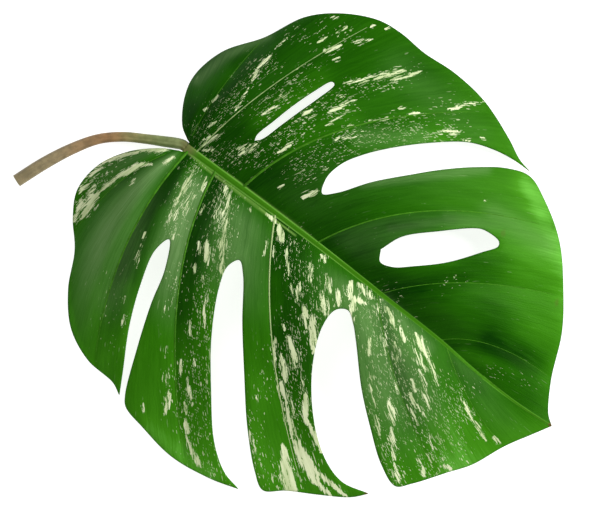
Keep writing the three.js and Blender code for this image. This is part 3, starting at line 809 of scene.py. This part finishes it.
leafColours = {
    "greens": [  # from the darkest to the lightest
        (0.0, (0.0016, 0.030, 0.0003, 1)), (0.25, (0.0105, 0.084, 0.0006, 1)),
        (0.5, (0.024, 0.142, 0.0022, 1)), (0.75, (0.044, 0.215, 0.006, 1)), (1.0, (0.125, 0.42, 0.046, 1))],
    # the grey-green of the painted sheen and of the leaf's own marbling
    "grey": (0.165, 0.29, 0.105, 1),
    "haze": (0.16, 0.29, 0.08, 1),
    "cream": (0.70, 0.76, 0.47, 1),
    "creamGreen": (0.48, 0.57, 0.29, 1),
    "rib": (0.036, 0.155, 0.004, 1),
    "ribPale": (0.15, 0.36, 0.05, 1),
    "pale": (0.2, 0.37, 0.07, 1),
    "joint": (0.13, 0.15, 0.045, 1),
    # the rim colour is painted shade along every edge
    "rim": (0.012, 0.04, 0.004, 1),
    "scorch": (0.09, 0.045, 0.02, 1),
    "under": (0.09, 0.22, 0.04, 1),
    "underGrey": (0.12, 0.24, 0.07, 1),
    "underRib": (0.2, 0.34, 0.09, 1),
    "vein": (0.055, 0.21, 0.009, 1),
    "veinCream": (0.36, 0.46, 0.2, 1),
}

leafGrain = {  # noise along the veins: scale along and across them, detail, roughness, distortion
    "sway": (90, 260, 2.0, 0.5, 0.0),
    "streak": (70, 640, 3.0, 0.55, 0.2),
    "comb": (150, 1500, 2.0, 0.6, 0.0),
    "fleck": (480, 1200, 2.0, 0.65, 0.0),
    "broad": (28, 120, 2.0, 0.5, 0.0),
    "clump": (110, 330, 2.0, 0.5, 0.0),
    "fine": (40, 900, 2.0, 0.5, 0.0),
    "lines": (25, 1500, 2.0, 0.5, 0.0),
    "cells": (900, 1400, 2.0, 0.5, 0.0),
    "underLines": (25, 1100, 2.0, 0.5, 0.0),
}

flecks = {
    "kinds": [  # millimetres along and across the veins, share by the strokes, share in the salt
        (8.0, 0.75, 0.4, 0.04), (3.2, 0.55, 0.14, 0.3), (1.5, 0.42, 0.1, 0.34)],
    "wispSpread": 2.0,
}


def veinNoise(tree, flow, name):
    along, across, detail, roughness, distortion = leafGrain[name]
    return tree.noise(tree.stretched(flow, (along, across, 1)), 1.0, detail, roughness, distortion)


def scatter(tree, flow, along, across, share, rough):  # lens-shaped flecks along the veins
    cells = tree.stretched(flow, (1 / (along * mm), 1 / (across * mm), 1))
    gap = tree.add("ShaderNodeTexVoronoi", {"voronoi_dimensions": "2D", "feature": "F1"},
                   {"Vector": cells, "Scale": 1.0, "Randomness": 1.0})
    draw = tree.add("ShaderNodeSeparateColor", {}, {"Color": gap.also("Color")})
    size = 0.13 + 0.31 * draw.also("Green")
    body = tree.step(gap + rough - size, 0.06, -0.06)
    return body * tree.step(share - draw, -0.01, 0.03) * (0.35 + 0.55 * draw.also("Blue"))


def flowPattern(tree):  # the cream mask and the vein-wise noises of the blade, alike on both faces
    plain = tree.add("ShaderNodeUVMap", {"uv_map": "flow"})
    sway = veinNoise(tree, plain, "sway")
    shift = tree.add("ShaderNodeCombineXYZ", {}, {"Y": 3 * mm * (sway - 0.5)})
    flow = tree.add("ShaderNodeVectorMath", {"operation": "ADD"}, {0: plain, 1: shift})
    cream, wisp, salt = [tree.attribute(name) for name in ("cream", "wisp", "salt")]
    streak, comb, fleck, broad, clump = [veinNoise(tree, flow, name)
                                         for name in ("streak", "comb", "fleck", "broad", "clump")]
    clumped = tree.step(clump, 0.3, 0.7)
    tears = sum(share * (tree.step(noise, 0.3, 0.7) - 0.5)
                for share, noise in ((0.9, streak), (0.85, comb), (0.3, fleck)))
    ragged = cream + tree.step(cream, 0.0, 0.3) * tears
    mask = tree.step(ragged, 0.57, 0.64)
    for along, across, byStroke, bySalt in flecks["kinds"]:
        share = byStroke * wisp + bySalt * salt * (0.25 + 1.3 * clumped)
        mask = tree.maths("MAXIMUM", mask, scatter(tree, flow, along, across, share, 0.3 * (fleck - 0.5)))
    mask = mask * tree.step(tree.attribute("rib"), 0.25, 0.03)  # none on the midrib
    haze = tree.step(ragged, 0.1, 0.55) * tree.step(cream, 0.1, 0.4)
    return flow, streak, broad, mask, haze


def upperFinish():
    c = leafColours
    material, tree, sockets = newMaterial("leafUpper", Specular_IOR_Level=0.1,
                                          Specular_Tint=(0.4, 1, 0.15, 1))
    flow, streak, broad, mask, haze = flowPattern(tree)
    tone, grey, rib = [tree.attribute(name) for name in ("tone", "grey", "rib")]
    rimGap, scorch = tree.attribute("rimGap"), tree.attribute("scorch")
    fine = veinNoise(tree, flow, "fine")
    # lightness of the green, with its painted shade and painted sheen
    shade = tone + 0.22 * (broad - 0.5) + 0.2 * (fine - 0.5) + 0.12 * (streak - 0.5)
    green = tree.add("ShaderNodeValToRGB", {"stops": c["greens"]}, {"Fac": shade})
    # painted grey sheen, with the leaf's own grey-green marbling, laid over the green
    marbledAndSheened = tree.blend(grey * (0.75 + 0.9 * (fine - 0.5) + 0.5 * (broad - 0.5)), green, c["grey"])
    hazed = tree.blend(0.4 * haze, marbledAndSheened, c["haze"])
    ribNoise = tree.noise(tree.stretched(tree.place(), (60, 900, 200)), 1.0, 2.0)
    flank = tree.step(rib, 0.62, 0.2) * (0.3 + 0.9 * ribNoise)  # paler than the rib's crown
    toTip = tree.attribute("toTip")
    faded = 1 - 0.75 * tree.step(toTip, 0.3, 0.6)
    ribColour = tree.blend(tree.step(toTip, 0.035, 0.0), tree.blend(flank * faded, c["rib"], c["ribPale"]),
                           c["joint"])
    lined = tree.blend(0.8 * tree.attribute("pale") * (0.3 + ribNoise), hazed, c["pale"])
    ribbed = tree.blend(tree.step(rib, 0.01, 0.14), lined, ribColour)
    cream = tree.blend(tree.step(broad + 0.5 * streak, 0.6, 0.9), c["creamGreen"], c["cream"])
    painted = tree.blend(mask, ribbed, cream)
    # painted shade: a thin dark band along every edge of the blade and its holes
    rimShaded = tree.blend(0.22 * tree.step(rimGap, 0.7, 0.1), painted, c["rim"])
    feed(sockets["Base Color"], tree.blend(scorch, rimShaded, c["scorch"]))
    feed(sockets["Roughness"], 0.36 + 0.16 * fine + 0.08 * mask)
    lines, cells = veinNoise(tree, flow, "lines"), veinNoise(tree, flow, "cells")
    relief(tree, sockets, 0.6 * lines + 0.4 * cells + 0.25 * mask, strength=0.35, depth=0.6)
    return material


def underFinish():
    c = leafColours
    material, tree, sockets = newMaterial("leafUnder", Specular_IOR_Level=0.3)
    flow, streak, broad, mask = flowPattern(tree)[:4]
    rib = tree.attribute("rib")
    green = tree.blend(0.35 * broad + 0.3 * streak, c["under"], c["underGrey"])
    blade = tree.blend(0.8 * mask, green, c["cream"])
    feed(sockets["Base Color"], tree.blend(tree.step(rib, 0.05, 0.4), blade, c["underRib"]))
    feed(sockets["Roughness"], 0.55 + 0.15 * streak)
    relief(tree, sockets, veinNoise(tree, flow, "underLines"), strength=0.45, depth=0.8)
    return material


# Side veins

sideVeins = {
    "upperStrength": (0.3, 0.5, 1.0, 0.62, 0.3, 0.18),  # of veins 1 to 6, from the base to the tip
    "lowerStrength": (0.3, 1.0, 0.95, 0.65, 0.4, 0.36),
    "upperCream": (0, 0.55, 0.1, 0.05, 0, 0),
    "lowerCream": (0, 0.05, 0.2, 1.0, 0.2, 0),
    "rootRadius": 0.82,  # millimetres, on the upper face
    "endRadius": 0.14,
    "keelRadius": 1.3,  # millimetres, on the underside
    "reach": 0.93,  # share of the way to the margin
    "rootFlare": 0.3,
    "rootRun": 1.5,  # millimetres
    "sunk": 0.3,  # share of the radius that lies inside the blade
    "skin": 0.2,  # millimetres of blade left over an underside vein
    "step": 2.0,
    "sides": 10,
}


def veinCarrier(face):  # one chain of edges for each vein, lying on a face of the blade
    form = sideVeins
    loops = bladeLoops(bladeForm["marginStep"])
    edgeTree = nearTree(np.vstack(loops))
    spots, edges, girths, creams = [], [], [], []
    for field, strengths, creamy in ((upperField, form["upperStrength"], form["upperCream"]),
                                     (lowerField, form["lowerStrength"], form["lowerCream"])):
        for vein, (strength, cream) in enumerate(zip(strengths, creamy), start=1):
            length = field.length(np.array([float(vein)]))[0]
            t = np.linspace(0, form["reach"], int(length / form["step"]))
            points = field.point(np.full(len(t), float(vein)), t)
            clear = inside(points, loops) & (distances(points, edgeTree) > 2)
            start = int(np.argmax(clear))
            stop = start + int(np.argmin(np.r_[clear[start:], False]))
            t, points = t[start:stop], points[start:stop]
            heights = bladeHeights(points)
            root = form["rootRadius"] if face == "top" else form["keelRadius"]
            taper = (1 - t / form["reach"]) ** 0.65
            girth = (form["endRadius"] + (root * strength - form["endRadius"]) * taper) * (
                1 + form["rootFlare"] * np.exp(-t / 0.04))
            if face == "top":
                buried = np.exp(-(t - t[0]) * length / form["rootRun"])  # the root end dips into the midrib
                z = heights["top"] - (form["sunk"] + 1.1 * buried) * girth
            else:  # wholly below the upper face and above the ground
                cover = heights["under"] + bladeForm["thickness"] - form["skin"]
                girth = np.minimum(girth, cover / 2)
                z = np.minimum(heights["under"] + form["sunk"] * girth, cover - girth)
            first = len(spots)
            spots += placed(points, z).tolist()
            edges += [(first + i, first + i + 1) for i in range(len(t) - 1)]
            girths += (girth * mm).tolist()
            creams += [cream] * len(t)
    mesh = bpy.data.meshes.new("veinCarrier")
    mesh.from_pydata(spots, edges, [])
    addAttribute(mesh, "girth", girths)
    addAttribute(mesh, "creamy", creams)
    return mesh


def veinTree():  # a round cord swept along the carrier, as thick as its girth says
    tree, inputs = newGrowth("veinCords", {"Sides": "Int", "Finish": "Material"})
    path = tree.add("GeometryNodeMeshToCurve", {}, {"Mesh": inputs["Geometry"]})
    return sweep(tree, path, ring(tree, inputs["Sides"]), inputs["Finish"])


def veinFinish(name, green, cream):
    material, tree, sockets = newMaterial(name, Specular_IOR_Level=0.2, Specular_Tint=(0.5, 1, 0.3, 1))
    place = tree.place()
    grain = tree.noise(place, 260.0, 3.0, 0.6)
    creamy = tree.step(tree.attribute("creamy") + 0.8 * (grain - 0.5), 0.2, 0.75)
    deeper = tuple(0.6 * part for part in green[:3]) + (1,)
    grown = tree.blend(tree.step(grain, 0.3, 0.7), deeper, green)
    feed(sockets["Base Color"], tree.blend(creamy, grown, cream))
    feed(sockets["Roughness"], 0.42 + 0.15 * grain)
    relief(tree, sockets, grain, strength=0.2, depth=0.4)
    return material


# Petiole

petioleForm = {
    "route": [  # x, y, height and radius in the leaf plan, from inside the midrib to the cut end
        (9, 0.2, 12.9, 1.5), (4, 0.1, 13.2, 2.5), (0, 0, 13.4, 3.05), (-3, 0, 13.3, 3.2),
        (-7, -1.7, 12.1, 3.32), (-13, -5, 10.3, 3.25), (-22, -10, 8.4, 3), (-35, -18, 6.4, 3),
        (-46, -28, 5, 3.05), (-55, -42, 4.2, 3.4), (-63, -59, 3.9, 3.75), (-70, -78, 3.8, 3.8)],
    "sides": 72,
    "grooveDepth": 0.16,  # share of the radius
    "grooveHalfAngle": 0.6,
    "ribCount": 11,
    "ribDepth": 0.012,
    "step": 0.8,
    "bundleRadius": 0.27,
    "bundleGap": 0.95,
    "bundleSeed": 7,
}


def petioleLine():
    line = curvePoints(petioleForm["route"])
    even = evenPoints(line, petioleForm["step"])
    return np.vstack([even, line[-1] * 0.9 + even[-1] * 0.1, line[-1]])


def petioleCarrier():
    line = petioleLine()
    run = np.r_[0, np.cumsum(np.linalg.norm(np.diff(line[:, :3], axis=0), axis=1))]
    mesh = bpy.data.meshes.new("petioleCarrier")
    mesh.from_pydata(placed(line[:, :2], line[:, 2]).tolist(), [(i, i + 1) for i in range(len(line) - 1)], [])
    addAttribute(mesh, "girth", line[:, 3] * mm)
    addAttribute(mesh, "run", run)
    return mesh, run[-1]


def petioleTree():  # a grooved, finely ribbed round swept along the route
    tree, inputs = newGrowth("petioleSweep", {
        "Sides": "Int", "Groove": "Float", "Groove Angle": "Float", "Rib Count": "Float",
        "Rib Depth": "Float", "Finish": "Material"})
    path = tree.add("GeometryNodeSetCurveNormal", {"mode": "Z_UP"},
                    {"Curve": tree.add("GeometryNodeMeshToCurve", {}, {"Mesh": inputs["Geometry"]})})
    spot = tree.add("GeometryNodeInputPosition")
    x = tree.add("ShaderNodeSeparateXYZ", {}, {"Vector": spot})
    angle = tree.maths("ARCTAN2", x, 0 - x.also("Y"))  # the groove runs along the top
    groove = tree.step(tree.maths("ABSOLUTE", angle), inputs["Groove Angle"], 0.0)
    ribs = tree.maths("SINE", angle * inputs["Rib Count"])
    size = 1 - groove * inputs["Groove"] + ribs * inputs["Rib Depth"]
    moved = tree.add("ShaderNodeVectorMath", {"operation": "SCALE"}, {"Vector": spot, "Scale": size})
    profile = ring(tree, inputs["Sides"])
    shaped = tree.add("GeometryNodeSetPosition", {}, {"Geometry": profile, "Position": moved})
    return sweep(tree, path, shaped, inputs["Finish"])


petioleColours = {
    "joint": (0.12, 0.12, 0.035, 1),
    "olive": (0.225, 0.275, 0.1, 1),
    "oliveDeep": (0.145, 0.19, 0.058, 1),
    "tan": (0.35, 0.19, 0.08, 1),
    "tanDeep": (0.21, 0.12, 0.05, 1),
    "dull": (0.29, 0.235, 0.125, 1),
    "dullDeep": (0.19, 0.155, 0.08, 1),
    "cut": (0.5, 0.55, 0.32, 1),
    "bundle": (0.2, 0.26, 0.1, 1),
}


def petioleFinish(length):  # olive by the blade, then tan, dull brown at the far end
    c = petioleColours
    material, tree, sockets = newMaterial("petioleSkin", Specular_IOR_Level=0.25)
    place = tree.place()
    run = tree.attribute("run")
    grain = tree.noise(place, 190.0, 3.0, 0.6)
    blotch = tree.noise(place, 60.0, 2.0, 0.5)
    specks = tree.noise(place, 900.0, 2.0, 0.6)
    worn = tree.step(grain, 0.3, 0.7)
    olive, tan, dull = [tree.blend(worn, c[name + "Deep"], c[name]) for name in ("olive", "tan", "dull")]
    skin = tree.blend(tree.step(run + 20 * (blotch - 0.5), 26, 62), olive, tan)
    skin = tree.blend(tree.step(run + 30 * (blotch - 0.5), 55, 105), skin, dull)
    skin = tree.blend(tree.step(run, 15, 9), skin, c["joint"])
    skin = tree.blend(0.5 * tree.step(specks, 0.64, 0.7), skin, c["tanDeep"])
    cut = tree.step(run, length - 0.06, length - 0.02)
    feed(sockets["Base Color"], tree.blend(cut, skin, c["cut"]))
    feed(sockets["Roughness"], 0.42 + 0.2 * grain)
    relief(tree, sockets, 0.7 * grain + 0.3 * specks, strength=0.3, depth=0.5)
    return material


def bundleTree():  # small pale-ringed strands over the cut end
    tree, inputs = newGrowth("cutStrands", {"Gap": "Float", "Strand Radius": "Float", "Seed": "Int",
                                            "Finish": "Material"})
    spots = tree.add("GeometryNodeDistributePointsOnFaces", {"distribute_method": "POISSON"},
                     {"Mesh": inputs["Geometry"], "Distance Min": inputs["Gap"], "Density Max": 2.0e6,
                      "Seed": inputs["Seed"]})
    bead = tree.add("GeometryNodeMeshIcoSphere", {}, {"Radius": inputs["Strand Radius"], "Subdivisions": 2})
    strands = tree.add("GeometryNodeInstanceOnPoints", {}, {"Points": spots, "Instance": bead})
    return closeGrowth(tree, strands, inputs["Finish"])


def bundleCarrier():  # a disc just inside the cut end
    line = petioleLine()
    end = Vector(placed(line[-1:, :2], line[-1:, 2])[0])
    before = Vector(placed(line[-4:-3, :2], line[-4:-3, 2])[0])
    out = (end - before).normalized()
    side = out.cross(Vector((0, 0, 1))).normalized()
    raised = side.cross(out)
    reach = 0.78 * float(line[-1, 3]) * mm
    turns = [2 * math.pi * i / 24 for i in range(24)]
    centre = end - out * 0.6 * petioleForm["bundleRadius"] * mm
    mesh = bpy.data.meshes.new("bundleCarrier")
    mesh.from_pydata([centre + reach * (math.cos(a) * side + math.sin(a) * raised) for a in turns], [],
                     [tuple(range(24))])
    return mesh


def bundleFinish():
    material, tree, sockets = newMaterial("cutStrand", Specular_IOR_Level=0.3)
    grain = tree.noise(tree.place(), 1500.0)
    feed(sockets["Base Color"], tree.blend(grain, petioleColours["bundle"], petioleColours["cut"]))
    feed(sockets["Roughness"], 0.5 + 0.2 * grain)
    return material


# Putting the leaf together

bpy.context.view_layer.update()
planLoop = bladeLoops(bladeForm["marginStep"])[0]
boxLow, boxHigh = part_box("leaf_blade")
planShift = (np.array(boxLow[:2]) + np.array(boxHigh[:2])) / 2 - (planLoop.min(0) + planLoop.max(0)) / 2 * mm

blade = makeBlade([upperFinish(), underFinish()])
seat(blade, "leaf_blade")

cords = veinTree()
for name, face, green, cream in (("upper_veins", "top", "vein", "veinCream"),
                                 ("under_veins", "under", "underRib", "cream")):
    skin = veinFinish(name + "Skin", leafColours[green], leafColours[cream])
    veins = grow(name, veinCarrier(face), cords, {"Sides": sideVeins["sides"], "Finish": skin})
    seat(veins, None)

stalkCarrier, stalkLength = petioleCarrier()
petiole = grow("petiole_fine", stalkCarrier, petioleTree(), {
    "Sides": petioleForm["sides"], "Groove": petioleForm["grooveDepth"],
    "Groove Angle": petioleForm["grooveHalfAngle"], "Rib Count": float(petioleForm["ribCount"]),
    "Rib Depth": petioleForm["ribDepth"], "Finish": petioleFinish(stalkLength)})
seat(petiole, "petiole")
strands = grow("petiole_strands", bundleCarrier(), bundleTree(), {
    "Gap": petioleForm["bundleGap"] * mm, "Strand Radius": petioleForm["bundleRadius"] * mm,
    "Seed": petioleForm["bundleSeed"], "Finish": bundleFinish()})
seat(strands, None)


# Studio

studio = {
    "photoJoint": (187, 148),  # pixels of the petiole joint and the blade's tip
    "photoTip": (553, 428),
    "photoSize": (600, 514),
    "bladeLength": 0.276,
    "cameraHeight": 1.5,
    "leafHeight": 0.012,  # the level that the pixels are measured at
    "sensor": 36,
    "lights": {  # along the picture's right and up, height, size, power
        "key": (1.0, 0.28, 0.66, 0.6, 20),
        "back": (-0.45, 0.72, 0.85, 0.8, 4),
        "left": (-0.88, -0.1, 0.72, 0.8, 2.6),
        "front": (0.1, -0.88, 0.78, 0.8, 3.6),
    },
    "sky": 0.05,
    "floorGlow": 0.85,
}


def pixelAxes():
    run = np.subtract(studio["photoTip"], studio["photoJoint"]).astype(float)
    scale = studio["bladeLength"] / float(np.linalg.norm(run))
    cos, sin = (run / np.linalg.norm(run)).tolist()
    right = Vector((cos, sin, 0))
    up = Vector((-sin, cos, 0))
    return scale, right, up


def addCamera(scale, right, up):
    dx = studio["photoSize"][0] / 2 - studio["photoJoint"][0]
    dy = studio["photoSize"][1] / 2 - studio["photoJoint"][1]
    centre = Vector((*planShift.tolist(), 0)) + scale * (dx * right - dy * up)
    data = bpy.data.cameras.new("camera")
    data.sensor_width = studio["sensor"]
    reach = studio["cameraHeight"] - studio["leafHeight"]
    data.lens = studio["sensor"] * reach / (scale * studio["photoSize"][0])
    data.clip_end = 10
    camera = bpy.data.objects.new("camera", data)
    camera.matrix_world = Matrix((
        (right.x, up.x, 0, centre.x),
        (right.y, up.y, 0, centre.y),
        (right.z, up.z, 1, studio["cameraHeight"]),
        (0, 0, 0, 1)))
    bpy.context.scene.collection.objects.link(camera)
    bpy.context.scene.camera = camera


def addLight(name, position, size, power):
    data = bpy.data.lights.new(name, "AREA")
    data.shape = "DISK"
    data.size = size
    data.energy = power
    light = bpy.data.objects.new(name, data)
    light.location = position
    light.rotation_euler = (-Vector(position)).to_track_quat("-Z", "Y").to_euler()
    bpy.context.scene.collection.objects.link(light)


def addSky():
    world = bpy.data.worlds.new("studio")
    world.use_nodes = True
    world.node_tree.nodes["Background"].inputs["Color"].default_value = (1, 1, 1, 1)
    world.node_tree.nodes["Background"].inputs["Strength"].default_value = studio["sky"]
    bpy.context.scene.world = world
    bpy.context.scene.view_settings.view_transform = "Standard"


def addFloor():
    half, level = 6, -0.0003
    mesh = bpy.data.meshes.new("floor")
    corners = [(-half, -half, level), (half, -half, level), (half, half, level), (-half, half, level)]
    mesh.from_pydata(corners, [], [(0, 1, 2, 3)])
    material, tree, sockets = newMaterial("paleFloor", Roughness=0.8, Specular_IOR_Level=0.1,
                                          Emission_Color=(1, 1, 1, 1), Emission_Strength=studio["floorGlow"])
    cloud = tree.noise(tree.place(), 3.0)
    feed(sockets["Base Color"], tree.blend(cloud, (0.44, 0.44, 0.44, 1), (0.46, 0.46, 0.457, 1)))
    mesh.materials.append(material)
    floor = bpy.data.objects.new("floor", mesh)
    bpy.context.scene.collection.objects.link(floor)


pixelSize, right, up = pixelAxes()
addCamera(pixelSize, right, up)
for name, (across, upward, height, size, power) in studio["lights"].items():
    addLight(name, across * right + upward * up + Vector((0, 0, height)), size, power)
addSky()
addFloor()
print("studio set")
